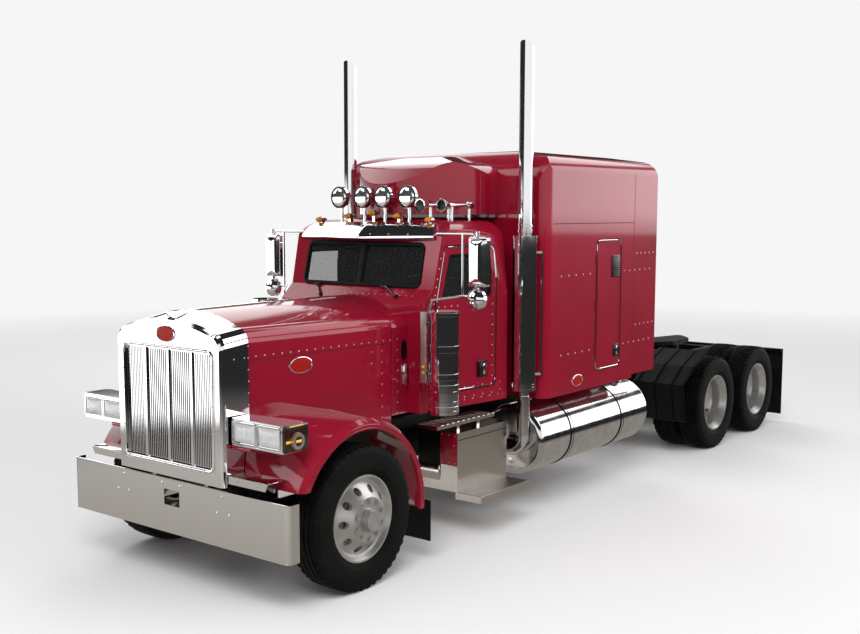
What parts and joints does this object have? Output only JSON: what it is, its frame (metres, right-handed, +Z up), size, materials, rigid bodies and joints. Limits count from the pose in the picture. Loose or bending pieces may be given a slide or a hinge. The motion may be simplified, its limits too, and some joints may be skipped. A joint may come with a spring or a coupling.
{
  "type": "semi truck tractor unit",
  "caption": "Long-nose highway tractor unit with sleeper, tandem twin-tyred drive axles, fifth wheel, upright exhaust stacks and air cleaners, opening doors and tilting hood.",
  "frame": {"origin": "on the ground, midway between the two sides and between the bumper's nose and the rear mud flaps", "axes": "+Z up, the truck faces -Y, +X is the truck's left (driver's) side"},
  "size_m": [2.58, 9.46, 4.327],
  "materials": {
    "frame_black": "satin",
    "cast_grey": "rough",
    "body_red": "gloss",
    "satin_steel": "satin",
    "bright_chrome": "polished",
    "polished_alloy": "polished",
    "black_plastic": "matte",
    "flap_rubber": "matte",
    "tyre": "matte",
    "dark_glass": "clear",
    "lamp_lens": "clear",
    "trim_cloth": "woven",
    "grease_steel": "greased"
  },
  "bodies": {
    "chassis": {"frame_rails": "frame_black", "crossmembers": "frame_black", "bumper": "satin_steel", "front_axle": "cast_grey", "drive_axles": "cast_grey", "suspension": "frame_black", "engine": "cast_grey", "radiator": "black_plastic", "fuel_tanks": "polished_alloy", "step_boxes": "satin_steel", "exhausts": "bright_chrome", "air_cleaners": "bright_chrome", "mirrors": "bright_chrome", "quarter_fenders": "black_plastic", "rear_hanger": "frame_black", "mud_flaps": "flap_rubber", "fifth_wheel_base": "frame_black", "cowl": "body_red", "windscreen": "dark_glass", "cab_sides": "body_red", "cab_tub": "body_red", "cab_roof": "body_red", "visor": "bright_chrome", "roof_lamps": "lamp_lens", "horns": "bright_chrome", "dashboard": "black_plastic", "seats": "trim_cloth", "boot": "flap_rubber", "sleeper_tub": "body_red", "sleeper_sides": "body_red", "sleeper_roof": "body_red", "extenders": "body_red"},
    "hood": {"hood": "body_red", "crown": "bright_chrome", "grille": "bright_chrome", "grille_screen": "black_plastic", "fenders": "body_red", "headlamps": "bright_chrome"},
    "fifth_wheel": {"fifth_wheel_plate": "grease_steel"},
    "knuckle_left": {"knuckle_left": "cast_grey"},
    "front_wheel_left": {"steer_wheel_left": "polished_alloy", "steer_tyre_left": "tyre"},
    "door_left": {"door_left": "body_red", "door_glass_left": "dark_glass"},
    "bunk_door_left": {"bunk_door_left": "body_red"},
    "drive_wheel_1_left": {"drive_wheel_1_left": "polished_alloy", "drive_tyres_1_left": "tyre"},
    "drive_wheel_2_left": {"drive_wheel_2_left": "polished_alloy", "drive_tyres_2_left": "tyre"},
    "knuckle_right": {"knuckle_right": "cast_grey"},
    "front_wheel_right": {"steer_wheel_right": "polished_alloy", "steer_tyre_right": "tyre"},
    "door_right": {"door_right": "body_red", "door_glass_right": "dark_glass"},
    "bunk_door_right": {"bunk_door_right": "body_red"},
    "drive_wheel_1_right": {"drive_wheel_1_right": "polished_alloy", "drive_tyres_1_right": "tyre"},
    "drive_wheel_2_right": {"drive_wheel_2_right": "polished_alloy", "drive_tyres_2_right": "tyre"}
  },
  "joints": [
    {"name": "hood_tilt", "type": "hinge", "parent": "chassis", "child": "hood", "pos_m": [0, -4.66, 0.77], "axis": [1, 0, 0], "range_deg": [0, 70]},
    {"name": "fifth_wheel_rock", "type": "hinge", "parent": "chassis", "child": "fifth_wheel", "pos_m": [0, 3.092, 1.105], "axis": [1, 0, 0], "range_deg": [-11, 11]},
    {"name": "steer_left", "type": "hinge", "parent": "chassis", "child": "knuckle_left", "pos_m": [0.86, -3.859, 0.551], "axis": [0, 0, 1], "range_deg": [-35, 35]},
    {"name": "front_wheel_spin_left", "type": "hinge", "parent": "knuckle_left", "child": "front_wheel_left", "pos_m": [1.049, -3.859, 0.551], "axis": [1, 0, 0], "continuous": true},
    {"name": "door_swing_left", "type": "hinge", "parent": "chassis", "child": "door_left", "pos_m": [0.834, -2.537, 1.9], "axis": [0, 0, -1], "range_deg": [0, 55]},
    {"name": "bunk_door_swing_left", "type": "hinge", "parent": "chassis", "child": "bunk_door_left", "pos_m": [1.203, -0.457, 1.9], "axis": [0, 0, -1], "range_deg": [0, 90]},
    {"name": "drive_wheel_spin_1_left", "type": "hinge", "parent": "chassis", "child": "drive_wheel_1_left", "pos_m": [0.911, 2.552, 0.551], "axis": [1, 0, 0], "continuous": true},
    {"name": "drive_wheel_spin_2_left", "type": "hinge", "parent": "chassis", "child": "drive_wheel_2_left", "pos_m": [0.911, 3.855, 0.551], "axis": [1, 0, 0], "continuous": true},
    {"name": "steer_right", "type": "hinge", "parent": "chassis", "child": "knuckle_right", "pos_m": [-0.86, -3.859, 0.551], "axis": [0, 0, 1], "range_deg": [-35, 35]},
    {"name": "front_wheel_spin_right", "type": "hinge", "parent": "knuckle_right", "child": "front_wheel_right", "pos_m": [-1.049, -3.859, 0.551], "axis": [1, 0, 0], "continuous": true},
    {"name": "door_swing_right", "type": "hinge", "parent": "chassis", "child": "door_right", "pos_m": [-0.834, -2.537, 1.9], "axis": [0, 0, 1], "range_deg": [0, 55]},
    {"name": "bunk_door_swing_right", "type": "hinge", "parent": "chassis", "child": "bunk_door_right", "pos_m": [-1.203, -0.457, 1.9], "axis": [0, 0, 1], "range_deg": [0, 90]},
    {"name": "drive_wheel_spin_1_right", "type": "hinge", "parent": "chassis", "child": "drive_wheel_1_right", "pos_m": [-0.911, 2.552, 0.551], "axis": [1, 0, 0], "continuous": true},
    {"name": "drive_wheel_spin_2_right", "type": "hinge", "parent": "chassis", "child": "drive_wheel_2_right", "pos_m": [-0.911, 3.855, 0.551], "axis": [1, 0, 0], "continuous": true}
  ],
  "couplings": [
    {"joint": "steer_right", "follows": "steer_left", "ratio": 1}
  ]
}
